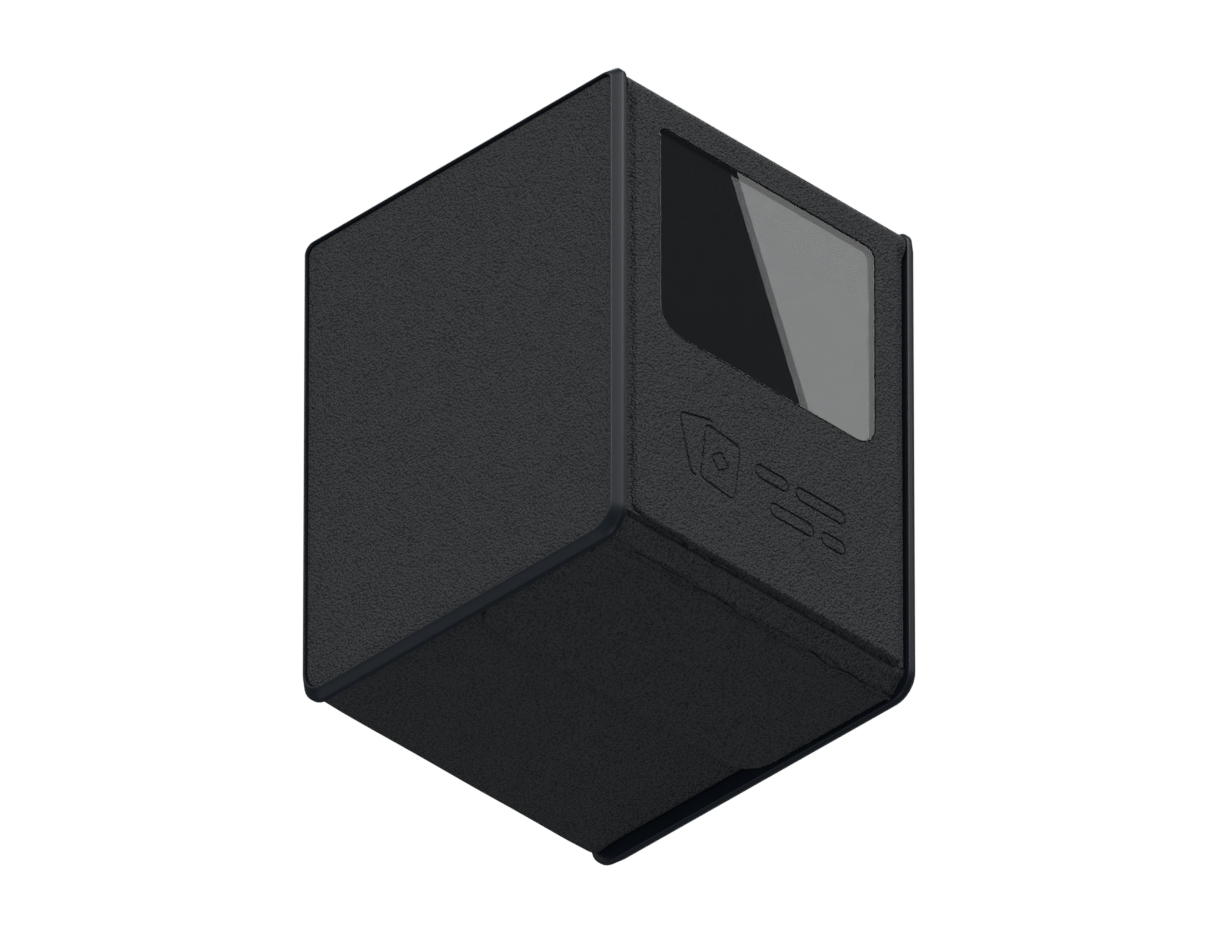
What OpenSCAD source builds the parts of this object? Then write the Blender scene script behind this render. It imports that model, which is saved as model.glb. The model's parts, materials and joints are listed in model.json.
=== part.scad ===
// Card deck box: two moulded end plates carry a lined board tray, and a padded
// cover with a window hinges on soft spines, down at the front and up at the lid.
// Millimetres, +Z up, front towards -Y, origin at the middle of the footprint.

/* [Box] */
// Width over the two end plates
box_w = 84; // [80:1:92]
// Depth from front to back
box_d = 88; // [84:1:100]
// Height of the closed box
box_h = 110.6; // [106:0.2:116]

/* [End plates] */
// Thickness of an end plate
plate_t = 3; // [3:0.1:3.6]
// Corner radius at the top of an end plate
plate_r_top = 3.3; // [2.5:0.1:5]
// Corner radius at the bottom of an end plate
plate_r_bottom = 4.7; // [2.5:0.1:6]
// How far the rim's bevel runs in from the edge
bevel_in = 1.4; // [0.8:0.1:1.8]
// How much of the thickness the bevel takes
bevel_t = 1.8; // [1:0.1:2]
// Width of the flat lip around the inset panel
lip_w = 0.35; // [0.3:0.05:1]
// Depth of the pocket for the inset panel
pocket_t = 1.6; // [1.4:0.1:1.8]
// How far the inset panel lies below the lip
inset_drop = 0.6; // [0.3:0.1:0.8]

/* [Layers] */
// Thickness of the leatherette
skin_t = 0.6; // [0.4:0.1:0.8]
// Thickness of the lining
liner_t = 0.4; // [0.3:0.1:0.6]
// Thickness of the board in the side walls
side_board_t = 1.6; // [1.2:0.1:2]
// Thickness of the board in the base and the back
body_board_t = 2.1; // [1.8:0.1:2.4]
// Bevel on the side edges of those boards, which makes the tray's edges soft
board_bevel = 1.8; // [1:0.1:2]
// Thickness of the board in the front cover
front_board_t = 1.4; // [1.2:0.1:1.6]
// Thickness of the board in the lid
lid_board_t = 1.4; // [1.2:0.1:1.6]

/* [Cover] */
// Space between moving and fixed parts
gap = 0.35; // [0.3:0.05:0.5]
// Height of the cover's lower edge above the ground
cover_low = 5.8; // [5:0.1:6.2]
// Radius of the bend between the front cover and the lid
bend_r = 4.4; // [4:0.1:5]
// Width of the flat strip beside the front pad
strip_w = 2.1; // [1.5:0.1:3]
// Rounding of the front pad's edge
pad_edge_r = 0.8; // [0.7:0.1:1]
// Corner radius at the foot of the front pad
pad_r = 3; // [1.5:0.1:5]
// Rounding of the lid's edges
lid_edge_r = 2; // [1.5:0.1:2]
// How deep the lid's inner board reaches into the tray
lid_plug_t = 2; // [1.5:0.1:2.5]

/* [Window] */
// Width of the window
window_w = 60; // [50:1:62]
// Height of the window
window_h = 48.2; // [40:0.2:48.2]
// Height of the window's lower edge above the ground
window_low = 52.8; // [50:0.2:56]
// Thickness of the pane
pane_t = 1.8; // [1.5:0.1:1.8]
// How far the pane's hidden flange reaches under the board
flange_w = 2.5; // [1.5:0.1:4]

/* [Base] */
// How far the base is recessed above the plates' feet
base_recess = 2.7; // [2.4:0.1:3.2]
// Distance from the front plane to the patch under the base
patch_front = 5.8; // [5:0.1:8]
// Distance from the front plane to the back edge of the patch
patch_back = 44.4; // [36:0.1:60]
// Distance from the outer side planes to the patch
patch_side = 3.2; // [3.2:0.1:8]
// Corner radius at the back of the patch
patch_r = 7.6; // [3:0.1:12]
// Height of the patch's face above the ground
patch_low = 0.4; // [0.2:0.1:0.8]
// Height of the front wall inside the tray
front_wall_h = 48; // [30:1:50]

/* [Hidden] */
$fn = 48;

// Planes of the closed box
front = -box_d / 2;
back = box_d / 2;
plate_x = box_w / 2 - plate_t;
// Half width of everything that lies between the end plates, and of the tray's inside
cover_x = plate_x - gap;
bay_x = plate_x - side_board_t - liner_t;
// Layers of the front cover, from its face inwards
front_board_y = front + skin_t;
front_liner_y = front_board_y + front_board_t;
front_inner_y = front_liner_y + liner_t;
cover_high = box_h - bend_r;
// Layers of the lid, from its face downwards
lid_front = front + bend_r;
lid_board_z = box_h - skin_t - lid_board_t;
lid_low = lid_board_z - liner_t;
lid_plug_low = lid_low - lid_plug_t;
lid_plug_x = bay_x - gap;
// The tray
tray_front = front_inner_y + gap;
wall_top = lid_low - gap;
back_skin_y = back - 0.3;
back_board_y = back_skin_y - skin_t - body_board_t;
bay_back = back_board_y - liner_t;
base_board_z = base_recess + skin_t;
floor_z = base_board_z + body_board_t;
bay_low = floor_z + liner_t;
front_wall_t = 1;
bay_front = tray_front + front_wall_t + 2 * liner_t;
heel_r = 3;
// Window outline
window_r_bottom = 5.5;
window_r_top = 2.3;
pane_drop = 0.1;
pane_lip_t = 0.7;
// Soft spines
spine_t = 0.8;
spine_drop = 1.2;
seam = 0.1;
// Closing magnets
magnet_size = [12, 1.4, 6];
magnet_x = 22;
keeper_size = [12, 1.2, 0.8];

// Extrudes a profile drawn in (Y, Z) from x0 to x1
module along_x(x0, x1) {
    translate([x0, 0, 0]) rotate([90, 0, 90]) linear_extrude(x1 - x0) children();
}

// Stands a shape drawn in (X, Z) on the plane y, growing towards the front
module facing_front(y) {
    translate([0, y, 0]) rotate([90, 0, 0]) children();
}

module block(lo, hi) {
    translate(lo) cube(hi - lo);
}

// Rectangle from lo to hi with one radius for the low corners and one for the high ones
module rounded_rect(lo, hi, r_low, r_high) {
    hull() {
        for (x = [lo.x + r_low, hi.x - r_low]) translate([x, lo.y + r_low]) circle(r_low);
        for (x = [lo.x + r_high, hi.x - r_high]) translate([x, hi.y - r_high]) circle(r_high);
    }
}

// Disc whose upper edge is rounded
module rounded_disc(r, t, edge) {
    rotate_extrude($fn = 32) {
        square([r - edge, t]);
        square([r, t - edge]);
        translate([r - edge, t - edge]) intersection() {
            circle(edge, $fn = 32);
            square(edge);
        }
    }
}

// Pad from lo to hi, its face at height t with a rounded edge
module pad(lo, hi, t, r_low, r_high, edge) {
    hull() {
        for (x = [lo.x + r_low, hi.x - r_low])
            translate([x, lo.y + r_low, 0]) rounded_disc(r_low, t, edge);
        for (x = [lo.x + r_high, hi.x - r_high])
            translate([x, hi.y - r_high, 0]) rounded_disc(r_high, t, edge);
    }
}

// ---- End plates ----

// Outline of an end plate, drawn in by some distance
module plate_outline(inset) {
    rounded_rect([front + inset, inset], [back - inset, box_h - inset],
        plate_r_bottom - inset, plate_r_top - inset);
}

module end_plate() {
    color([0.16, 0.17, 0.18]) difference() {
        hull() {
            along_x(0, 0.05) plate_outline(bevel_in);
            along_x(bevel_t, plate_t) plate_outline(0);
        }
        along_x(-1, pocket_t) plate_outline(bevel_in + lip_w);
    }
}

module inset_board() {
    color([0.45, 0.42, 0.38])
        along_x(inset_drop + skin_t, pocket_t) plate_outline(bevel_in + lip_w + 0.1);
}

module inset_skin() {
    color([0.13, 0.14, 0.15])
        along_x(inset_drop, inset_drop + skin_t) plate_outline(bevel_in + lip_w + 0.1);
}

module side_board() {
    color([0.45, 0.42, 0.38])
        block([plate_t, tray_front + liner_t, floor_z],
            [plate_t + side_board_t, back_board_y, wall_top - liner_t]);
}

// Lining that is turned over the board's top and front edges
module side_liner() {
    color([0.08, 0.08, 0.09]) difference() {
        block([plate_t, tray_front, floor_z],
            [plate_t + side_board_t + liner_t, back_board_y, wall_top]);
        block([0, tray_front + liner_t, 0], [plate_t + side_board_t, box_d, wall_top - liner_t]);
    }
}

// A part drawn from the outer face inwards, placed on the left or the right
module on_left() {
    translate([-box_w / 2, 0, 0]) children();
}

module on_right() {
    mirror([1, 0, 0]) on_left() children();
}

// ---- Tray ----

module base_board() {
    color([0.45, 0.42, 0.38]) intersection() {
        foot_and_back(0);
        block([-plate_x, tray_front + liner_t, base_board_z], [plate_x, back_board_y, floor_z]);
    }
}

module base_liner() {
    color([0.08, 0.08, 0.09])
        block([-bay_x, bay_front, floor_z], [bay_x, bay_back, bay_low]);
}

// Profile of the tray's foot and back, grown outwards over the boards by some distance
module foot_and_back_profile(grow) {
    r = heel_r - skin_t + grow;
    hull() {
        translate([tray_front + liner_t, base_board_z - grow]) square([1, 10]);
        translate([back_skin_y - skin_t + grow - r, base_board_z - grow + r]) circle(r);
        translate([back_skin_y - skin_t + grow - 1, wall_top - skin_t + grow - 1]) square([1, 1]);
    }
}

// The tray's outside with its side edges bevelled, grown by some distance
module foot_and_back(grow) {
    bevel = board_bevel - grow * (sqrt(2) - 1);
    hull() {
        along_x(-plate_x + bevel, plate_x - bevel) foot_and_back_profile(grow);
        along_x(-plate_x, plate_x) foot_and_back_profile(grow - bevel);
    }
}

module back_board() {
    color([0.45, 0.42, 0.38]) difference() {
        intersection() {
            foot_and_back(0);
            block([-plate_x, back_board_y, 0], [plate_x, back, box_h]);
        }
        magnet_group(0.05);
    }
}

module back_liner() {
    color([0.08, 0.08, 0.09])
        block([-bay_x, bay_back, floor_z], [bay_x, back_board_y, wall_top]);
}

module front_wall_board() {
    color([0.45, 0.42, 0.38])
        block([-bay_x, tray_front + liner_t, floor_z],
            [bay_x, bay_front - liner_t, front_wall_h - liner_t]);
}

// Lining on both faces of the front wall and over its top edge
module front_wall_liner() {
    color([0.08, 0.08, 0.09]) difference() {
        block([-bay_x, tray_front, floor_z], [bay_x, bay_front, front_wall_h]);
        block([-box_w, tray_front + liner_t, 0],
            [box_w, bay_front - liner_t, front_wall_h - liner_t]);
    }
}

// Leatherette that runs from under the tray, round its heel, up the back and over its top edge
module body_wrap() {
    color([0.13, 0.14, 0.15]) difference() {
        foot_and_back(skin_t);
        foot_and_back(0);
        block([-box_w, front, floor_z], [box_w, back_board_y, box_h]);
    }
}

module magnet_group(clear) {
    for (side = [-1, 1])
        translate([side * magnet_x, back_board_y + body_board_t / 2,
            wall_top - skin_t - magnet_size.z / 2])
            cube(magnet_size + [clear, clear, clear] * 2, center = true);
}

module back_magnets() {
    color([0.7, 0.7, 0.72]) magnet_group(0);
}

// ---- Patch that holds the cover's lower spine under the base ----

module patch_pad(grow, face, depth) {
    lo = [-box_w / 2 + patch_side - grow, -(front + patch_back) - grow];
    hi = [box_w / 2 - patch_side + grow, -(front + patch_front) + grow];
    translate([0, 0, base_recess]) rotate([180, 0, 0])
        pad(lo, hi, depth - face, patch_r, 1.5 + grow, 0.9 + grow);
}

module base_patch_board() {
    color([0.45, 0.42, 0.38]) patch_pad(-skin_t, patch_low + skin_t, base_recess);
}

module base_patch_skin() {
    color([0.13, 0.14, 0.15]) difference() {
        patch_pad(0, patch_low, base_recess);
        patch_pad(-skin_t, patch_low + skin_t, base_recess);
        translate([0, 0, base_recess]) cube([box_w, box_d, 0.02], center = true);
    }
}

// ---- Soft spines ----

// Quarter bend around (y, z) towards the front, rising or falling from there
module quarter_bend(y, z, r_y, r_z, rise, half_w) {
    color([0.13, 0.14, 0.15]) along_x(-half_w, half_w)
        translate([y, z]) intersection() {
            difference() {
                scale([r_y, r_z]) circle(1);
                scale([r_y - spine_t, r_z - spine_t]) circle(1);
            }
            translate([-r_y, rise > 0 ? 0 : -r_z]) square([r_y, r_z]);
        }
}

module lower_spine() {
    quarter_bend(front + patch_front - seam, cover_low - seam, patch_front - seam - spine_drop,
        cover_low - seam - patch_low, -1, cover_x - 0.4);
}

module upper_spine() {
    quarter_bend(lid_front - seam, cover_high + seam, bend_r - seam, bend_r - seam, 1,
        cover_x - 0.4);
}

// ---- Front cover ----

module window_outline(grow) {
    rounded_rect([-window_w / 2 - grow, window_low - grow],
        [window_w / 2 + grow, window_low + window_h + grow],
        window_r_bottom + grow, window_r_top + grow);
}

module front_pad(shrink, y_face, y_back) {
    x = cover_x - strip_w - shrink;
    facing_front(y_back)
        pad([-x, cover_low + shrink], [x, cover_high - shrink],
            y_back - y_face, pad_r - shrink, pad_edge_r - shrink, pad_edge_r - shrink);
}

module front_board() {
    color([0.45, 0.42, 0.38]) difference() {
        front_pad(skin_t, front_board_y, front_liner_y);
        facing_front(back) linear_extrude(box_d * 2) window_outline(0);
        facing_front(front_liner_y) linear_extrude(pane_t - pane_lip_t)
            window_outline(flange_w);
    }
}

module front_skin() {
    color([0.13, 0.14, 0.15]) difference() {
        union() {
            front_pad(0, front, front_liner_y);
            facing_front(front_liner_y) linear_extrude(skin_t)
                rounded_rect([-cover_x, cover_low], [cover_x, cover_high], pad_r, 1);
        }
        front_pad(skin_t, front_board_y, front_liner_y + 1);
        facing_front(back) linear_extrude(box_d * 2) window_outline(0);
    }
}

module front_liner() {
    color([0.08, 0.08, 0.09]) difference() {
        facing_front(front_inner_y) linear_extrude(liner_t)
            rounded_rect([-cover_x + 0.4, cover_low + 0.4], [cover_x - 0.4, cover_high],
                pad_r, 1);
        facing_front(back) linear_extrude(box_d * 2) window_outline(0.4);
    }
}

module window_pane() {
    color([0.75, 0.8, 0.82, 0.35]) {
        facing_front(front_liner_y) linear_extrude(front_liner_y - front - pane_drop)
            window_outline(-0.1);
        facing_front(front_liner_y) linear_extrude(pane_t - pane_lip_t - 0.1)
            window_outline(flange_w - 0.1);
    }
}

// ---- Lid ----

module lid_pad(shrink, z_back, z_face) {
    translate([0, 0, z_back])
        pad([-cover_x + shrink, lid_front + shrink], [cover_x - shrink, back_skin_y - shrink],
            z_face - z_back, lid_edge_r - shrink, lid_edge_r - shrink, lid_edge_r - shrink);
}

module lid_board() {
    color([0.45, 0.42, 0.38]) difference() {
        lid_pad(skin_t, lid_board_z, box_h - skin_t);
        keeper_group(0.05);
    }
}

module lid_inner_board() {
    color([0.45, 0.42, 0.38])
        block([-lid_plug_x + liner_t, lid_front + liner_t, lid_plug_low + liner_t],
            [lid_plug_x - liner_t, bay_back - gap - liner_t, lid_board_z]);
}

module lid_skin() {
    color([0.13, 0.14, 0.15]) difference() {
        lid_pad(0, lid_board_z, box_h);
        lid_pad(skin_t, lid_board_z - 1, box_h - skin_t);
    }
}

// Lining over the lid's underside and round the inner board
module lid_liner() {
    color([0.08, 0.08, 0.09]) difference() {
        union() {
            block([-cover_x + 0.4, lid_front + 0.4, lid_low],
                [cover_x - 0.4, back_skin_y - 0.4, lid_board_z]);
            block([-lid_plug_x, lid_front, lid_plug_low], [lid_plug_x, bay_back - gap, lid_board_z]);
        }
        block([-lid_plug_x + liner_t, lid_front + liner_t, lid_plug_low + liner_t],
            [lid_plug_x - liner_t, bay_back - gap - liner_t, box_h]);
    }
}

module keeper_group(clear) {
    for (side = [-1, 1])
        translate([side * magnet_x, back_board_y + body_board_t / 2, lid_board_z + keeper_size.z / 2])
            cube(keeper_size + [clear, clear, clear] * 2, center = true);
}

module lid_magnets() {
    color([0.7, 0.7, 0.72]) keeper_group(0);
}

on_left() end_plate();  // left_end_plate
on_right() end_plate();  // right_end_plate
on_left() inset_board();  // left_inset_board
on_right() inset_board();  // right_inset_board
on_left() inset_skin();  // left_inset_skin
on_right() inset_skin();  // right_inset_skin
on_left() side_board();  // left_side_board
on_right() side_board();  // right_side_board
on_left() side_liner();  // left_side_liner
on_right() side_liner();  // right_side_liner
base_board();
base_liner();
back_board();
back_liner();
front_wall_board();
front_wall_liner();
body_wrap();
base_patch_board();
base_patch_skin();
back_magnets();
lower_spine();
front_board();
front_skin();
front_liner();
window_pane();
upper_spine();
lid_board();
lid_inner_board();
lid_skin();
lid_liner();
lid_magnets();
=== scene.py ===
"""Looks of the card deck box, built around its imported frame. Lengths are in metres."""
import json
import math

import bmesh
import bpy
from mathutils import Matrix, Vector, noise


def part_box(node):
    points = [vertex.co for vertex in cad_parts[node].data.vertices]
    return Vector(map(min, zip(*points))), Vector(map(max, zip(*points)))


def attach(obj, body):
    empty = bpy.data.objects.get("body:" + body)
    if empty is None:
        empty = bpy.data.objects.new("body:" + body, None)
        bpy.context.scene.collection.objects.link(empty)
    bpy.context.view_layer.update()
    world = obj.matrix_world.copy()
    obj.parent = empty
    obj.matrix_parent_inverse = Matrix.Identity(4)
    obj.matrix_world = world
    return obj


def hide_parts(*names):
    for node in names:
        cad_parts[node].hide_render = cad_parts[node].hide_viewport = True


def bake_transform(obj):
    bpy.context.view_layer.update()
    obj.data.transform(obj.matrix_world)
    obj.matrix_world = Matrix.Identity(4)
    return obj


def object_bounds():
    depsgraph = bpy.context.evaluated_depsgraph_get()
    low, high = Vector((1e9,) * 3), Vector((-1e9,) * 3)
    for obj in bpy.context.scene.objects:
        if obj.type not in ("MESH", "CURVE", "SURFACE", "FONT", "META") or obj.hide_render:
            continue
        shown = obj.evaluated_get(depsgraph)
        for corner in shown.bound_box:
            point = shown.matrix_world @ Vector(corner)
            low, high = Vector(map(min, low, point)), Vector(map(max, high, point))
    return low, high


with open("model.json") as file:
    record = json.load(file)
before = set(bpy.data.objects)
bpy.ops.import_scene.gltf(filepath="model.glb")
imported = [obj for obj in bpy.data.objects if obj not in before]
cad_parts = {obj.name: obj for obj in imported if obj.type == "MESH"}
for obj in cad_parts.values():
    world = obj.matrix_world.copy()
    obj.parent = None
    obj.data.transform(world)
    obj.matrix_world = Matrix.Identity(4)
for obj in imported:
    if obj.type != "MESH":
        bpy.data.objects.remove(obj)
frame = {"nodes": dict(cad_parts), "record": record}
cad_low, cad_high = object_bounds()

MM = 0.001

# Places that the frame holds
PLATE_LOW, PLATE_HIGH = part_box("left_end_plate")
COVER_LOW, COVER_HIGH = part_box("front_skin")
LID_LOW, LID_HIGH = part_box("lid_skin")
PATCH_LOW, PATCH_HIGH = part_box("base_patch_skin")
WRAP_LOW, WRAP_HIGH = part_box("body_wrap")
PANE_LOW, PANE_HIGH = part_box("window_pane")
FRONT, BACK, TOP = PLATE_LOW.y, PLATE_HIGH.y, PLATE_HIGH.z
PLATE_X = -PLATE_HIGH.x

# Sizes that the frame doesn't hold
SKIN = 0.6 * MM
PLATE_R_LOW, PLATE_R_HIGH = 5.6 * MM, 2.8 * MM
BEVEL_IN, BEVEL_DEPTH, LIP = 1.4 * MM, 1.8 * MM, 0.35 * MM
POCKET, INSET_DROP, INSET_GAP = 1.6 * MM, 0.6 * MM, 0.1 * MM
STRIP_WIDTH, STRIP_SLOPE, STRIP_DROP = 1.5 * MM, 1.4 * MM, 1.25 * MM
PAD_EDGE, PAD_DEPTH = 0.7 * MM, 2.0 * MM
PAD_CORNER_LEFT, PAD_CORNER_RIGHT = 4.5 * MM, 1 * MM
LID_EDGE = 1.7 * MM
TRAY_EDGE, TRAY_PILLOW = 2.0 * MM, 0.3 * MM
PATCH_CORNER = 7.6 * MM
PANE_FLANGE, PANE_FRONT = 2.4 * MM, 0.7 * MM
WINDOW_GAP = 0.25 * MM
WINDOW_R_LOW, WINDOW_R_HIGH = 5.5 * MM, 2.3 * MM
GROOVE_WIDE, GROOVE_NARROW, GROOVE_DEPTH = 0.5 * MM, 0.26 * MM, 0.34 * MM
HIDDEN_REACH = 8 * MM  # how far a plate's or panel's flat faces run in before they are capped


# ---- Mesh tools ----

def mesh_object(name, points, faces):
    mesh = bpy.data.meshes.new(name)
    mesh.from_pydata([tuple(p) for p in points], [], faces)
    mesh.validate()
    obj = bpy.data.objects.new(name, mesh)
    bpy.context.scene.collection.objects.link(obj)
    return obj


def shade(obj, angle=32):
    """Smooth shading, kept crisp along edges sharper than angle degrees and flat on end caps."""
    obj.data.shade_smooth()
    obj.data.set_sharp_from_angle(angle=math.radians(angle))
    for face in obj.data.polygons:
        if len(face.vertices) > 8:
            face.use_smooth = False
    return obj


def face_out(obj):
    """Turns every face of a closed mesh outwards."""
    mesh = bmesh.new()
    mesh.from_mesh(obj.data)
    bmesh.ops.recalc_face_normals(mesh, faces=mesh.faces)
    mesh.to_mesh(obj.data)
    mesh.free()
    return obj


def bake(obj):
    """Applies the object's modifiers to its mesh."""
    graph = bpy.context.evaluated_depsgraph_get()
    made = bpy.data.meshes.new_from_object(obj.evaluated_get(graph))
    obj.modifiers.clear()
    obj.data = made
    return obj


def thicken(obj, thickness):
    solid = obj.modifiers.new("Thickness", "SOLIDIFY")
    solid.thickness = thickness
    solid.offset = -1
    return bake(obj)


def carve(obj, cutter):
    cut = obj.modifiers.new("Cut", "BOOLEAN")
    cut.operation, cut.solver, cut.object = "DIFFERENCE", "EXACT", face_out(cutter)
    bake(obj)
    bpy.data.objects.remove(cutter)
    return obj


def outline(low, high, r_low, r_high, steps=8):
    """Rounded rectangle, anticlockwise, with one radius for its low corners and one for its high ones."""
    corners = [(high[0], low[1], r_low, -90), (high[0], high[1], r_high, 0),
               (low[0], high[1], r_high, 90), (low[0], low[1], r_low, 180)]
    points = []
    for x, y, r, turn in corners:
        cx = x - r if x == high[0] else x + r
        cy = y - r if y == high[1] else y + r
        for i in range(steps + 1):
            a = math.radians(turn + 90 * i / steps)
            points.append((cx + r * math.cos(a), cy + r * math.sin(a)))
    return points


def loft(name, rings):
    """A closed solid through rings of equally many points, capped at both ends."""
    count = len(rings[0])
    points = [p for ring in rings for p in ring]
    faces = []
    for r in range(len(rings) - 1):
        for i in range(count):
            j = (i + 1) % count
            faces.append((r * count + i, r * count + j, (r + 1) * count + j, (r + 1) * count + i))
    last = (len(rings) - 1) * count
    faces.append(tuple(reversed(range(count))))
    faces.append(tuple(last + i for i in range(count)))
    return face_out(mesh_object(name, points, faces))


class Route:
    """A line in a plane, of straight runs joined by round bends."""

    def __init__(self, points, radii):
        self.parts = []
        self.length = 0.0
        here = Vector(points[0])
        for corner, after, radius in zip(points[1:], points[2:], radii):
            corner, after = Vector(corner), Vector(after)
            u, v = (corner - here).normalized(), (after - corner).normalized()
            turn = math.atan2(u.x * v.y - u.y * v.x, u.dot(v))
            tangent = radius * math.tan(abs(turn) / 2)
            enter = corner - u * tangent
            self.add_line(here, enter)
            self.add_bend(enter, u, radius, turn)
            here = corner + v * tangent
        self.add_line(here, Vector(points[-1]))

    def add_line(self, start, end):
        run = (end - start).length
        if run > 1e-9:
            way = (end - start).normalized()
            self.parts.append((run, lambda t, a=start, d=way: (a + d * t, d)))
            self.length += run

    def add_bend(self, start, way, radius, turn):
        run = radius * abs(turn)
        if run < 1e-9:
            return
        side = math.copysign(1.0, turn)
        centre = start + Vector((-way.y, way.x)) * radius * side

        def at(t):
            a = turn * t / run
            spoke, c, s = start - centre, math.cos(a), math.sin(a)
            turned = Vector((spoke.x * c - spoke.y * s, spoke.x * s + spoke.y * c))
            return centre + turned, Vector((way.x * c - way.y * s, way.x * s + way.y * c))

        self.parts.append((run, at))
        self.length += run

    def at(self, distance):
        """The place at a distance along the route, and its direction there."""
        for run, place in self.parts[:-1]:
            if distance <= run:
                return place(distance)
            distance -= run
        return self.parts[-1][1](distance)

    def bends(self):
        """Start and end of each part, as distances."""
        marks = [0.0]
        for run, _ in self.parts:
            marks.append(marks[-1] + run)
        return marks


def rounding(radius, steps=6):
    """Distances in from a rounded edge that space points evenly round it."""
    return [radius * (1 - math.sin(math.pi / 2 * i / steps)) for i in range(steps + 1)]


def stations(length, marks, pitch):
    """Distances from 0 to length through all the marks, no further apart than pitch."""
    stops = sorted({round(m, 7) for m in [0.0, length, *marks] if 0 <= m <= length})
    filled = []
    for a, b in zip(stops, stops[1:]):
        n = max(1, math.ceil((b - a) / pitch))
        filled += [a + (b - a) * i / n for i in range(n)]
    return filled + [stops[-1]]


def across(half, marks, pitch):
    """Places from -half to half, with the marks given as distances in from either edge."""
    inner = stations(half, [half - m for m in marks], pitch)
    return [-x for x in reversed(inner)] + inner[1:]


def ease(t):
    t = min(max(t, 0.0), 1.0)
    return t * t * (3 - 2 * t)


def sink(distance, radius):
    """How far a rounded edge of that radius has fallen, at a distance in from its rim."""
    if distance >= radius:
        return 0.0
    rest = radius - max(distance, 0.0)
    return radius - math.sqrt(max(radius * radius - rest * rest, 0.0))


def corner_distance(a, b, radius):
    """Distance in from a rounded corner, at distances a and b in from its two sides."""
    if a < radius and b < radius:
        return radius - math.hypot(radius - a, radius - b)
    return min(a, b)


def skin(name, route, out, rows, columns, drop):
    """Leatherette drawn along a route in (Y, Z).

    out is 1 where the outside is to the left of the route and -1 where it is to the right.
    drop(s, x) lowers the surface, at a distance s along the route and a place x across it.
    """
    points = []
    for s in rows:
        place, way = route.at(s)
        normal = Vector((-way.y, way.x)) * out
        for x in columns:
            spot = place - normal * drop(s, x)
            points.append((x, spot.x, spot.y))
    n = len(columns)
    faces = []
    for r in range(len(rows) - 1):
        for c in range(n - 1):
            quad = (r * n + c, r * n + c + 1, (r + 1) * n + c + 1, (r + 1) * n + c)
            faces.append(quad if out > 0 else tuple(reversed(quad)))
    return thicken(mesh_object(name, points, faces), SKIN)


# ---- Materials ----

def material(name, color, roughness, specular=0.5):
    made = bpy.data.materials.new(name)
    made.use_nodes = True
    surface = made.node_tree.nodes["Principled BSDF"]
    surface.inputs["Base Color"].default_value = (*color, 1)
    surface.inputs["Roughness"].default_value = roughness
    surface.inputs["Specular IOR Level"].default_value = specular
    return made, made.node_tree.nodes, made.node_tree.links, surface


def ramp(nodes, links, source, low, high, start=0.0, end=1.0):
    """Maps a value to a colour between low and high."""
    node = nodes.new("ShaderNodeValToRGB")
    node.color_ramp.elements[0].position, node.color_ramp.elements[0].color = start, (*low, 1)
    node.color_ramp.elements[1].position, node.color_ramp.elements[1].color = end, (*high, 1)
    links.new(source, node.inputs["Fac"])
    return node.outputs["Color"]


def cells(nodes, links, coords, size, smooth=0.5):
    node = nodes.new("ShaderNodeTexVoronoi")
    node.feature = "SMOOTH_F1"
    node.inputs["Scale"].default_value = 1 / size
    node.inputs["Smoothness"].default_value = smooth
    links.new(coords, node.inputs["Vector"])
    return node


def clouds(nodes, links, coords, size, detail=3.0, rough=0.5):
    node = nodes.new("ShaderNodeTexNoise")
    node.inputs["Scale"].default_value = 1 / size
    node.inputs["Detail"].default_value = detail
    node.inputs["Roughness"].default_value = rough
    links.new(coords, node.inputs["Vector"])
    return node


def combine(nodes, links, kind, a, b):
    node = nodes.new("ShaderNodeMath")
    node.operation = kind
    for slot, value in zip(node.inputs, (a, b)):
        if isinstance(value, (int, float)):
            slot.default_value = value
        else:
            links.new(value, slot)
    return node.outputs["Value"]


def bump(nodes, links, height, distance, surface):
    node = nodes.new("ShaderNodeBump")
    node.inputs["Distance"].default_value = distance
    links.new(height, node.inputs["Height"])
    links.new(node.outputs["Normal"], surface.inputs["Normal"])


def object_coords(nodes):
    return nodes.new("ShaderNodeTexCoord").outputs["Object"]


def leatherette():
    """Satin leatherette: small round pebbles of uneven height, coloured darker in the valleys between them
    and lighter on their tops as painted shade and painted highlight that follow the bump.
    """
    made, nodes, links, surface = material("Leatherette", (0.04, 0.042, 0.045), 0.6, 0.3)
    coords = object_coords(nodes)
    pebbles = cells(nodes, links, coords, 0.5 * MM, 0.25)
    fine = clouds(nodes, links, coords, 0.35 * MM, 2.0, 0.6)
    patches = clouds(nodes, links, coords, 6 * MM, 3.0, 0.6)
    raised = combine(nodes, links, "SUBTRACT", 1.0, pebbles.outputs["Distance"])
    height = combine(nodes, links, "ADD", raised,
                     combine(nodes, links, "MULTIPLY", fine.outputs["Fac"], 0.8))
    # Colour from the pebbles' height is painted shade in the valleys and painted highlight on the tops; the
    # broad patches are random tone.
    tone = combine(nodes, links, "ADD", combine(nodes, links, "MULTIPLY", height, 0.55),
                   combine(nodes, links, "MULTIPLY", patches.outputs["Fac"], 0.12))
    links.new(ramp(nodes, links, tone, (0.012, 0.0127, 0.014), (0.072, 0.0755, 0.08), 0.35, 0.9),
              surface.inputs["Base Color"])
    links.new(ramp(nodes, links, fine.outputs["Fac"], (0.52,) * 3, (0.68,) * 3, 0.3, 0.7),
              surface.inputs["Roughness"])
    bump(nodes, links, height, 0.42 * MM, surface)
    return made


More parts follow.
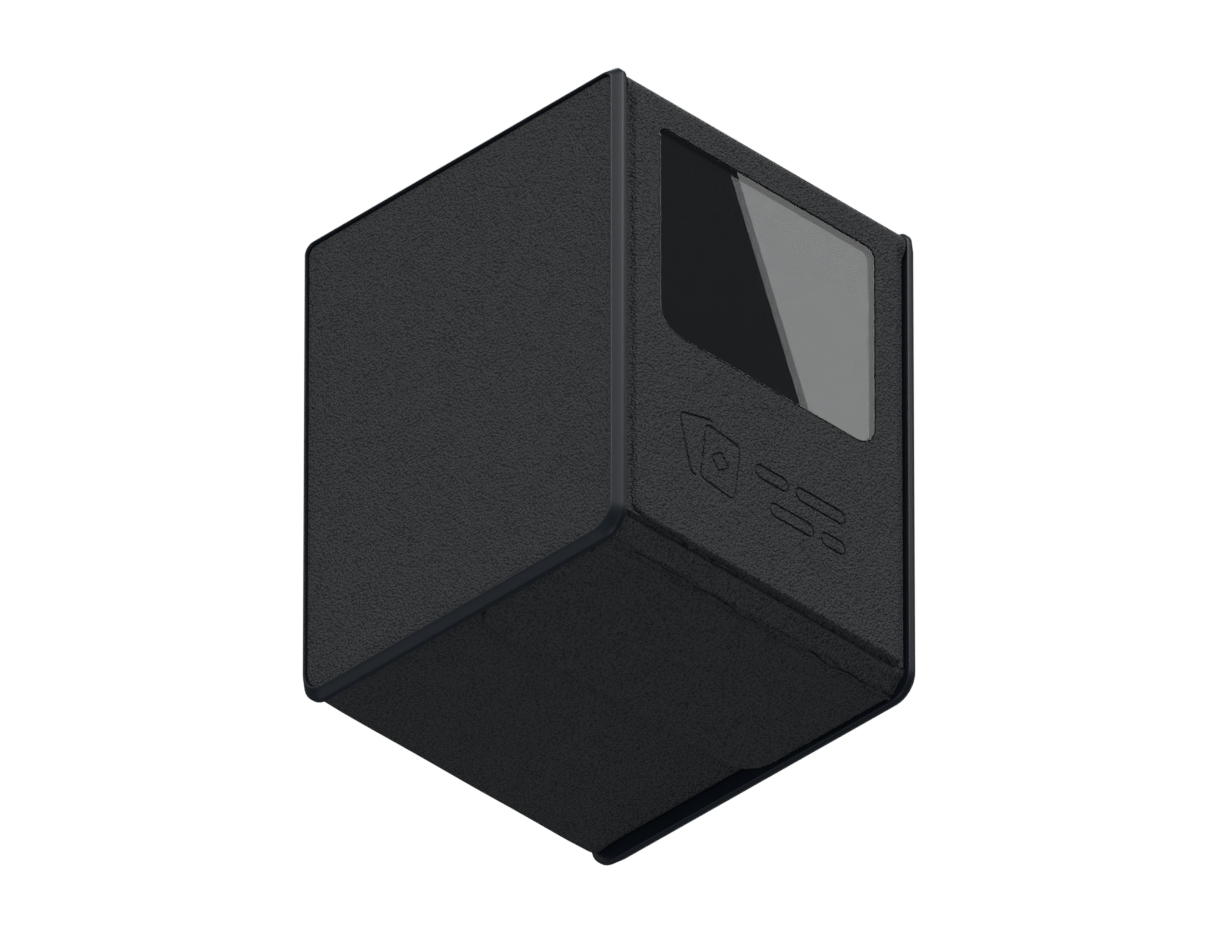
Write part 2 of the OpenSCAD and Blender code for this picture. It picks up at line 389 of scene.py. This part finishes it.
def moulded_plastic():
    """Satin black moulding with a fine spark texture."""
    made, nodes, links, surface = material("MouldedPlastic", (0.008, 0.012, 0.018), 0.38, 0.35)
    coords = object_coords(nodes)
    sparks = clouds(nodes, links, coords, 0.25 * MM, 2.0, 0.6)
    wear = clouds(nodes, links, coords, 9 * MM, 4.0, 0.6)
    links.new(ramp(nodes, links, wear.outputs["Fac"], (0.007, 0.011, 0.017), (0.009, 0.0135, 0.02), 0.3, 0.7),
              surface.inputs["Base Color"])
    links.new(ramp(nodes, links, wear.outputs["Fac"], (0.35,) * 3, (0.42,) * 3, 0.3, 0.7),
              surface.inputs["Roughness"])
    bump(nodes, links, sparks.outputs["Fac"], 0.006 * MM, surface)
    return made


def microfibre():
    """Soft matte lining with a short brushed pile."""
    made, nodes, links, surface = material("Microfibre", (0.009, 0.0095, 0.0105), 0.95, 0.1)
    coords = object_coords(nodes)
    pile = clouds(nodes, links, coords, 0.3 * MM, 3.0, 0.7)
    strokes = clouds(nodes, links, coords, 14 * MM, 2.0, 0.5)
    tone = combine(nodes, links, "ADD", combine(nodes, links, "MULTIPLY", pile.outputs["Fac"], 0.6),
                   combine(nodes, links, "MULTIPLY", strokes.outputs["Fac"], 0.4))
    links.new(ramp(nodes, links, tone, (0.005, 0.0055, 0.006), (0.013, 0.0135, 0.015), 0.3, 0.7),
              surface.inputs["Base Color"])
    surface.inputs["Sheen Weight"].default_value = 0.03
    surface.inputs["Sheen Roughness"].default_value = 0.5
    bump(nodes, links, pile.outputs["Fac"], 0.08 * MM, surface)
    return made


def paperboard():
    """Black paperboard, seen only at its cut edges."""
    made, nodes, links, surface = material("Paperboard", (0.02, 0.02, 0.021), 0.9, 0.2)
    coords = object_coords(nodes)
    fibres = clouds(nodes, links, coords, 0.2 * MM, 4.0, 0.7)
    links.new(ramp(nodes, links, fibres.outputs["Fac"], (0.012, 0.012, 0.0125), (0.032, 0.031, 0.03)),
              surface.inputs["Base Color"])
    bump(nodes, links, fibres.outputs["Fac"], 0.03 * MM, surface)
    return made


def clear_plastic():
    """Clear pane with faint handling haze."""
    made, nodes, links, surface = material("ClearPlastic", (0.93, 0.95, 0.96), 0.0, 0.5)
    surface.inputs["Transmission Weight"].default_value = 1.0
    surface.inputs["IOR"].default_value = 1.49
    haze = clouds(nodes, links, object_coords(nodes), 25 * MM, 3.0, 0.5)
    links.new(ramp(nodes, links, haze.outputs["Fac"], (0.0,) * 3, (0.012,) * 3, 0.45, 0.85),
              surface.inputs["Roughness"])
    return made


def nickel():
    made, nodes, links, surface = material("Nickel", (0.6, 0.6, 0.62), 0.25)
    surface.inputs["Metallic"].default_value = 1.0
    swirl = clouds(nodes, links, object_coords(nodes), 0.8 * MM, 3.0, 0.6)
    links.new(ramp(nodes, links, swirl.outputs["Fac"], (0.2,) * 3, (0.35,) * 3),
              surface.inputs["Roughness"])
    return made


LEATHERETTE = leatherette()
PLASTIC = moulded_plastic()
LINING = microfibre()
BOARD = paperboard()
CLEAR = clear_plastic()
NICKEL = nickel()


def dress(obj, finish):
    obj.data.materials.clear()
    obj.data.materials.append(finish)
    return obj


# ---- End plates ----

def plate_ring(side, inset, depth):
    """Outline of an end plate at some distance in from its edge and from its outer face."""
    ring = outline((FRONT + inset, inset), (BACK - inset, TOP - inset),
                   max(PLATE_R_LOW - 0.3 * inset, 0.3 * MM), max(PLATE_R_HIGH - 0.35 * inset, 0.3 * MM))
    x = side * (-PLATE_LOW.x - depth)
    points = [(x, y, z) for y, z in ring]
    return points if side > 0 else points[::-1]


def plate_loft(name, side, profile, radii):
    """A solid whose profile, of (inset, depth), is carried round the plate's outline."""
    route = Route(profile, radii)
    marks = stations(route.length, route.bends(), 0.12 * MM)
    spots = [route.at(s)[0] for s in marks if near_bend(route, s)]
    return shade(loft(name, [plate_ring(side, p.x, p.y) for p in spots]), 40)


def near_bend(route, s):
    """True for the ends of straight runs and for points round a bend."""
    rounding_error = 2e-7
    marks = route.bends()
    for start, end, (_, place) in zip(marks, marks[1:], route.parts):
        if start + rounding_error < s < end - rounding_error:
            return place(0)[1] != place(end - start)[1]
    return True


def end_plate(side, name):
    hollow = BEVEL_IN + LIP
    depth = PLATE_HIGH.x - PLATE_LOW.x
    profile = [(HIDDEN_REACH, POCKET), (hollow, POCKET), (hollow, 0), (BEVEL_IN, 0),
               (0, BEVEL_DEPTH), (0, depth), (HIDDEN_REACH, depth)]
    radii = [0.05 * MM, 0.08 * MM, 0.12 * MM, 0.14 * MM, 0.2 * MM]
    plate = plate_loft(f"{name}_plate_moulding", side, profile, radii)
    dress(plate, PLASTIC)
    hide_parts(f"{name}_end_plate")
    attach(plate, "box")


def inset_panel(side, name):
    rim = BEVEL_IN + LIP + INSET_GAP
    profile = [(HIDDEN_REACH, INSET_DROP), (rim, INSET_DROP), (rim, INSET_DROP + SKIN),
               (HIDDEN_REACH, INSET_DROP + SKIN)]
    panel = plate_loft(f"{name}_inset_leatherette", side, profile, [0.4 * MM, 0.05 * MM])
    dress(panel, LEATHERETTE)
    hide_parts(f"{name}_inset_skin")
    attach(panel, "box")


# ---- Cover ----

def window_ring(grow, y):
    low = (PANE_LOW.x + PANE_FLANGE - grow, PANE_LOW.z + PANE_FLANGE - grow)
    high = (PANE_HIGH.x - PANE_FLANGE + grow, PANE_HIGH.z - PANE_FLANGE + grow)
    ring = outline(low, high, WINDOW_R_LOW + grow, WINDOW_R_HIGH + grow, 12)
    return [(x, y, z) for x, z in ring]


def ribbon(points, half, closed):
    """The two sides of a line of some half width, in the plane it lies in."""
    sides = ([], [])
    n = len(points)
    for i, p in enumerate(points):
        before = points[i - 1] if closed or i else p
        after = points[(i + 1) % n] if closed or i < n - 1 else p
        way = (Vector(after) - Vector(before)).normalized()
        normal = Vector((-way.y, way.x)) * half
        sides[0].append(Vector(p) + normal)
        sides[1].append(Vector(p) - normal)
    return sides


def groove(points, closed, wide, narrow, depth):
    """Points and faces of a cutter with slanting walls, for a pressed line in the front face."""
    above = 0.1 * MM
    layers = [(wide * (1 + above / depth), FRONT - above), (narrow, FRONT + depth)]
    rings = []
    for half, y in layers:
        left, right = ribbon(points, half / 2, closed)
        rings.append([(p.x, y, p.y) for p in left])
        rings.append([(p.x, y, p.y) for p in right])
    n = len(points)
    verts = [p for ring in rings for p in ring]
    faces = []
    for i in range(n if closed else n - 1):
        j = (i + 1) % n
        for a, b in ((0, 1), (1, 3), (3, 2), (2, 0)):
            faces.append((a * n + i, b * n + i, b * n + j, a * n + j))
    if not closed:
        faces.append((0, 2 * n, 3 * n, n))
        faces.append((n - 1, 2 * n - 1, 4 * n - 1, 3 * n - 1))
    return verts, faces


def card_outline(centre, width, height, angle, radius):
    c, s = math.cos(math.radians(angle)), math.sin(math.radians(angle))
    flat = outline((-width / 2, -height / 2), (width / 2, height / 2), radius, radius, 5)
    return [(centre[0] + x * c - y * s, centre[1] + x * s + y * c) for x, y in flat]


def emblem_lines():
    """A plain pair of fanned cards and two rows of bars, as (points, closed) lines."""
    centre = (-15.3 * MM, 29.3 * MM)
    lean = 14
    width, height, corner = 9.5 * MM, 13.5 * MM, 1.3 * MM
    clearance = 0.9 * MM
    front_centre = (centre[0] + 2 * MM, centre[1] - 0.5 * MM)
    back_centre = (centre[0] - 3 * MM, centre[1] + 0.6 * MM)
    front_card = card_outline(front_centre, width, height, -lean / 2, corner)
    back_card = card_outline(back_centre, width, height, lean, corner)
    hidden = [inside(p, front_card, clearance) for p in back_card]
    first = next(i for i, h in enumerate(hidden) if h and not hidden[(i + 1) % len(hidden)])
    turned = back_card[first + 1:] + back_card[:first + 1]
    shown = [p for p in turned if not inside(p, front_card, clearance)]
    pip = card_outline(front_centre, 3.4 * MM, 3.4 * MM, 45 - lean / 2, 0.5 * MM)
    lines = [(front_card, True), (shown, False), (pip, True)]
    top_row, row_pitch, half_bar, bar_end, bar_gap = 32, 7.2, 1.5 * MM, 1.45 * MM, 2.2
    for row, (start, widths) in enumerate(((-3.5, (9, 13.5)), (0.5, (12, 6.5)))):
        x = start * MM
        for width in widths:
            z = (top_row - row * row_pitch) * MM
            bar = outline((x, z - half_bar), (x + width * MM, z + half_bar), bar_end, bar_end, 5)
            lines.append((bar, True))
            x += (width + bar_gap) * MM
    return lines


def inside(point, ring, margin):
    """True if a point lies inside a convex ring or nearer to it than the margin."""
    p = Vector(point)
    for a, b in zip(ring, ring[1:] + ring[:1]):
        a, b = Vector(a), Vector(b)
        edge = b - a
        if edge.length < 1e-9:
            continue
        if (edge.x * (p.y - a.y) - edge.y * (p.x - a.x)) / edge.length < -margin:
            return False
    return True


def cover_skin():
    """One sheet from the foot of the front cover, round the bend and over the lid."""
    route = Route([(FRONT, COVER_LOW.z), (FRONT, TOP), (LID_HIGH.y, TOP)], [LID_LOW.y - FRONT])
    up, over = route.bends()[1:3]
    half = COVER_HIGH.x
    cut_edge = 0.3 * MM

    def drop(s, x):
        side = half - abs(x)
        edge = sink(side, cut_edge)
        if s > over:
            grown = ease((s - over) / (3 * MM))
            edge = max(edge, sink(side, LID_EDGE) * grown)
            return max(edge, sink(corner_distance(side, route.length - s, LID_EDGE), LID_EDGE) * grown)
        if s > up:
            return edge
        if s == 0:
            return PAD_DEPTH
        # A raised pad between two low strips, which run out into the bend
        low_strip = STRIP_DROP * ease((up - s) / (3.5 * MM))
        inner, r = side - STRIP_WIDTH, PAD_CORNER_RIGHT if x > 0 else PAD_CORNER_LEFT
        if inner < r and s < r:
            a, b = r - inner, r - s
            d, share = r - math.hypot(a, b), a * a / (a * a + b * b)
            rounded = sink(d, PAD_EDGE) if d > 0 else low_strip
            return edge + share * low_strip * (1 - ease(d / STRIP_SLOPE)) + (1 - share) * rounded
        return edge + max(low_strip * (1 - ease(inner / STRIP_SLOPE)), sink(s, PAD_EDGE))

    foot = [0.01 * MM + d for d in rounding(PAD_EDGE)] + [i * 0.15 * MM for i in range(1, 34)]
    back = [route.length - d for d in rounding(LID_EDGE) + [0.01 * MM]]
    marks = foot + back + [up + (over - up) * i / 12 for i in range(13)]
    marks += [up - i * 0.4 * MM for i in range(10)] + [over + i * 0.5 * MM for i in range(7)]
    wall = rounding(cut_edge, 3) + [0.8 * MM] + [STRIP_WIDTH + i * 0.12 * MM for i in range(40)]
    sheet = skin("cover_leatherette", route, 1, stations(route.length, marks, 3 * MM),
                 across(half, wall, 3 * MM), drop)
    hole = [window_ring(0, FRONT - 2 * MM), window_ring(0, FRONT + 4 * MM)]
    carve(sheet, loft("window_cutter", hole))
    verts, faces = [], []
    for points, closed in emblem_lines():
        v, f = groove(points, closed, GROOVE_WIDE, GROOVE_NARROW, GROOVE_DEPTH)
        faces += [tuple(i + len(verts) for i in face) for face in f]
        verts += v
    carve(sheet, mesh_object("emblem_cutter", verts, faces))
    shade(sheet, 50)
    dress(sheet, LEATHERETTE)
    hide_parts("front_skin", "upper_spine", "lid_skin")
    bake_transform(sheet)


def window_pane():
    depth = PANE_HIGH.y - PANE_LOW.y
    route = Route([(-2 * MM, 0), (0, 0), (0, PANE_FRONT), (PANE_FLANGE, PANE_FRONT),
                   (PANE_FLANGE, depth), (-2 * MM, depth)],
                  [0.18 * MM, 0.05 * MM, 0.05 * MM, 0.15 * MM])
    spots = [route.at(s)[0] for s in stations(route.length, route.bends(), 0.06 * MM)
             if near_bend(route, s)]
    rings = [window_ring(p.x - WINDOW_GAP * (p.x < PANE_FLANGE / 2), PANE_LOW.y + p.y) for p in spots]
    pane = shade(loft("clear_window_pane", [ring[::-1] for ring in rings]), 5)
    dress(pane, CLEAR)
    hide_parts("window_pane")
    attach(pane, "front_panel")


# ---- Spine, patch and wrap ----

def wobble(x, seed, size):
    """A smooth wandering value of about -1 to 1 along X."""
    return noise.noise(Vector((x / size, seed, 0.0))) * 2


def lower_spine():
    """The soft strip from behind the pad's foot to the patch, creased where it is glued down."""
    creases = ((3.1, 0.05, 0.45), (7.7, -0.8, 0.5), (11.3, -1.5, 0.2))  # seed, place, depth in mm
    crease_width = 0.14 * MM
    foot = PATCH_LOW.z + 0.05 * MM
    seam = PATCH_LOW.y
    top = COVER_LOW.z - 0.03 * MM
    route = Route([(FRONT + 1.3 * MM, top), (FRONT + 1.65 * MM, top), (FRONT + 1.45 * MM, top - 1.1 * MM),
                   (FRONT + 4.75 * MM, foot), (seam + 0.25 * MM, foot),
                   (seam + 0.8 * MM, foot + 1.2 * MM)], [0.3 * MM, 1.4 * MM, 2.0 * MM, 0.4 * MM])
    glued = route.bends()[7]
    half = PLATE_X - 0.03 * MM

    def drop(s, x):
        fold = 0.0
        for seed, shift, depth in creases:
            middle = (shift + 0.4 * wobble(x, seed, 5 * MM)) * MM
            share = min(max(0.7 + 0.8 * wobble(x, seed + 20, 7 * MM), 0.0), 1.0)
            fold += share * depth * MM * math.exp(-((s - glued - middle) / crease_width) ** 2)
        side = half - abs(x)
        sunk = 0.5 * MM * (1 - ease(side / (2.4 * MM))) * ease(s / (3 * MM))
        return fold + sunk - 0.05 * MM * wobble(x + s, 5.5, 12 * MM)

    marks = route.bends() + [glued + i * 0.07 * MM for i in range(-34, 8)]
    strip = skin("lower_spine_leatherette", route, -1, stations(route.length, marks, 0.3 * MM),
                 across(half, [i * 0.25 * MM for i in range(1, 13)], 0.4 * MM), drop)
    shade(strip, 60)
    dress(strip, LEATHERETTE)
    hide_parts("lower_spine")
    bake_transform(strip)


def base_patch():
    """The raised panel that holds the spine's end, ragged where its edge was pressed down."""
    edge = 1.3 * MM
    low, high = (PATCH_LOW.x, PATCH_LOW.y), (PATCH_HIGH.x, PATCH_HIGH.y)
    levels = [(PATCH_HIGH.z - PATCH_LOW.z, 0.0)]
    levels += [(sink(d, edge), d) for d in sorted(rounding(edge, 8))]
    levels += [(0.0, 1.8 * MM), (0.0, 2.4 * MM), (0.0, 4 * MM)]
    rings = []
    for fall, inset in levels:
        ring = outline((low[0] + inset, low[1] + inset), (high[0] - inset, high[1] - inset),
                       0.4 * MM, max(PATCH_CORNER - inset, 1 * MM), 16)
        rings.append(ragged(refine(ring, 0.35 * MM), PATCH_LOW.z + fall, inset))
    patch = shade(loft("base_patch_leatherette", rings), 50)
    dress(patch, LEATHERETTE)
    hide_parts("base_patch_skin")
    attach(patch, "box")


def refine(ring, pitch):
    """Adds points along the straight sides of a ring, the same number on rings of one family."""
    made = []
    for a, b in zip(ring, ring[1:] + ring[:1]):
        n = 1
        if math.dist(a, b) > 8 * pitch:
            n = round(30 * MM / pitch)
        made += [(a[0] + (b[0] - a[0]) * i / n, a[1] + (b[1] - a[1]) * i / n) for i in range(n)]
    return made


def ragged(ring, z, inset):
    """Moves a ring's points a little in and out, and up and down, near the patch's edge."""
    share = 1 - ease(inset / (2.6 * MM))
    middle = (PATCH_LOW + PATCH_HIGH) / 2
    reach = (PATCH_HIGH - PATCH_LOW) / 2
    made = []
    for x, y in ring:
        off = Vector(((x - middle.x) / reach.x, (y - middle.y) / reach.y))
        push = off.normalized() * 0.35 * MM * share * noise.noise(Vector((x, y, 0.0)) / (1.6 * MM))
        worn = 0.9 if x < PATCH_LOW.x + 3 * MM else 0.3
        lift = worn * MM * share * abs(noise.noise(Vector((x, y, 9 * MM)) / (0.9 * MM)))
        made.append((x + push.x, y + push.y, z + lift))
    return made


def body_wrap():
    """The sheet behind the patch: under the tray, round its heel, up the back and over its top edge."""
    lip = 2.4 * MM
    route = Route([(WRAP_LOW.y, WRAP_LOW.z), (WRAP_HIGH.y, WRAP_LOW.z), (WRAP_HIGH.y, WRAP_HIGH.z),
                   (WRAP_HIGH.y - lip, WRAP_HIGH.z)], [2.4 * MM, 0.9 * MM])
    half = WRAP_HIGH.x - 0.03 * MM
    heel, heel_end = route.bends()[1:3]

    def drop(s, x):
        side = half - abs(x)
        fall = sink(side, TRAY_EDGE) + TRAY_PILLOW * (1 - ease(side / (9 * MM)))
        # The tight bend of the heel holds its edges out
        fall *= 0.45 + 0.55 * ease(abs(s - (heel + heel_end) / 2) / (9 * MM))
        puff = 0.09 * MM * noise.noise(Vector((x, s, 0.0)) / (16 * MM))
        return fall * ease((route.length - s) / (4 * MM)) - puff

    marks = route.bends() + [route.length - i * 0.5 * MM for i in range(12)]
    marks += [heel + (heel_end - heel) * i / 10 for i in range(11)]
    sides = rounding(TRAY_EDGE, 8) + [i * MM for i in range(3, 9)]
    sheet = skin("body_leatherette", route, -1, stations(route.length, marks, 3 * MM),
                 across(half, sides, 3 * MM), drop)
    shade(sheet, 50)
    dress(sheet, LEATHERETTE)
    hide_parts("body_wrap")
    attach(sheet, "box")


# ---- Pieces whose CAD shape is right ----

def finish_cad_nodes():
    for row in frame["record"]["subparts"]:
        finish = {"greyboard": BOARD, "lining": LINING, "magnet": NICKEL}.get(
            row["material_slot"])
        if finish:
            node = frame["nodes"][row["node"]]
            for slot in node.material_slots:
                slot.material = finish


# ---- Studio ----

AMBIENT, AMBIENT_COLOR = 0.11, (0.85, 0.94, 1.0)
CARD_RADIANCE = 1.67


def aim(obj, target):
    obj.rotation_mode = "QUATERNION"
    obj.rotation_quaternion = (Vector(target) - obj.location).to_track_quat("-Z", "Y")


def direction(azimuth, elevation):
    """Unit vector towards a viewer, azimuth 0 being in front and 90 to the right."""
    a, e = math.radians(azimuth), math.radians(elevation)
    return Vector((math.sin(a) * math.cos(e), -math.cos(a) * math.cos(e), math.sin(e)))


def camera():
    data = bpy.data.cameras.new("Camera")
    data.lens, data.sensor_width = 1290, 36
    seen_width = 237.8 * MM
    off_right, off_up = 0.39 * MM, 1.0 * MM
    obj = bpy.data.objects.new("Camera", data)
    bpy.context.scene.collection.objects.link(obj)
    towards = direction(-45, -35.03)
    distance = seen_width * data.lens / data.sensor_width
    right = towards.cross(Vector((0, 0, -1))).normalized()
    up = towards.cross(right).normalized()
    centre = (cad_low + cad_high) / 2 - right * off_right + up * off_up
    obj.location = centre + towards * distance
    aim(obj, centre)
    data.clip_start, data.clip_end = 0.1, distance * 3
    bpy.context.scene.camera = obj


def soft_light(name, towards, distance, size, strength, color=(1, 1, 1)):
    """Square area light of some radiance, aimed at the middle of the box."""
    data = bpy.data.lights.new(name, "AREA")
    data.shape, data.size = "SQUARE", size
    data.energy = strength * math.pi * size * size
    data.color = color
    obj = bpy.data.objects.new(name, data)
    bpy.context.scene.collection.objects.link(obj)
    middle = (cad_low + cad_high) / 2
    obj.location = middle + towards * distance
    aim(obj, middle)
    obj.visible_camera = False
    return obj


def window_card():
    """Bright card whose image in the pane ends on a slanting edge."""
    shift = direction(45, 35.03) * 0.5
    width, height = 220 * MM, 300 * MM
    edge_low, edge_high = Vector((15.8 * MM, 53.3 * MM)), Vector((-4.1 * MM, 100.6 * MM))
    way = (edge_high - edge_low).normalized()
    across_way = Vector((way.y, -way.x))
    middle = (edge_low + edge_high) / 2 + across_way * width / 2
    data = bpy.data.lights.new("WindowCard", "AREA")
    data.shape, data.size, data.size_y = "RECTANGLE", width, height
    data.energy = CARD_RADIANCE * math.pi * data.size * data.size_y
    obj = bpy.data.objects.new("WindowCard", data)
    bpy.context.scene.collection.objects.link(obj)
    obj.location = Vector((middle.x, FRONT, middle.y)) + shift
    obj.rotation_euler = (math.radians(90), math.atan2(way.x, way.y), 0)
    obj.visible_camera = False
    return obj


def floor():
    """Pale floor that can be looked through from below, because the box is seen from there too."""
    half = 3.0
    obj = mesh_object("floor", [(-half, -half, 0), (half, -half, 0), (half, half, 0), (-half, half, 0)],
                      [(0, 1, 2, 3)])
    obj.location.z = -0.02 * MM
    made, nodes, links, surface = material("PaleFloor", (0.86, 0.86, 0.86), 0.85, 0.2)
    clear = nodes.new("ShaderNodeBsdfTransparent")
    mix = nodes.new("ShaderNodeMixShader")
    side = nodes.new("ShaderNodeNewGeometry")
    links.new(side.outputs["Backfacing"], mix.inputs["Fac"])
    links.new(surface.outputs["BSDF"], mix.inputs[1])
    links.new(clear.outputs["BSDF"], mix.inputs[2])
    links.new(mix.outputs["Shader"], nodes["Material Output"].inputs["Surface"])
    obj.data.materials.append(made)
    for ray in ("visible_diffuse", "visible_glossy", "visible_transmission", "visible_shadow"):
        setattr(obj, ray, False)


def backdrop():
    """White behind the box, and a softer grey all round it for the light."""
    world = bpy.data.worlds.new("Studio")
    bpy.context.scene.world = world
    world.use_nodes = True
    nodes, links = world.node_tree.nodes, world.node_tree.links
    seen = nodes["Background"]
    seen.inputs["Color"].default_value = (1, 1, 1, 1)
    light = nodes.new("ShaderNodeBackground")
    light.inputs["Color"].default_value = (*AMBIENT_COLOR, 1)
    light.inputs["Strength"].default_value = AMBIENT
    mix = nodes.new("ShaderNodeMixShader")
    path = nodes.new("ShaderNodeLightPath")
    links.new(path.outputs["Is Camera Ray"], mix.inputs["Fac"])
    links.new(light.outputs["Background"], mix.inputs[1])
    links.new(seen.outputs["Background"], mix.inputs[2])
    links.new(mix.outputs["Shader"], nodes["World Output"].inputs["Surface"])
    bpy.context.scene.view_settings.view_transform = "Standard"


def studio():
    camera()
    backdrop()
    floor()
    window_card()
    soft_light("KeyLight", direction(-85, 40), 1.5, 0.6, 11, (1.0, 0.99, 0.98))
    soft_light("FrontLight", direction(10, 46), 1.5, 0.6, 9.2, (1.0, 0.99, 0.98))
    soft_light("BevelLight", direction(-30, 38), 1.2, 0.8, 1.45)
    soft_light("RearLight", direction(-135, 38), 1.2, 0.9, 0.3)
    soft_light("LowLight", direction(-30, -75), 1.2, 0.8, 1.5, (0.94, 0.97, 1.0))
    soft_light("UnderLight", direction(-145, -44), 1.2, 0.8, 0.55, (0.88, 0.94, 1.0))
    soft_light("RidgeLight", direction(-20, -25), 1.2, 0.6, 1.0, (0.82, 0.92, 1.0))
    soft_light("SideLight", direction(-100, -30), 1.2, 0.8, 0.35, (0.8, 0.9, 1.0))
    soft_light("RimLight", direction(135, 55), 1.2, 0.6, 3.5)


for sign, where in ((-1, "left"), (1, "right")):
    end_plate(sign, where)
    inset_panel(sign, where)
cover_skin()
window_pane()
lower_spine()
base_patch()
body_wrap()
finish_cad_nodes()
studio()
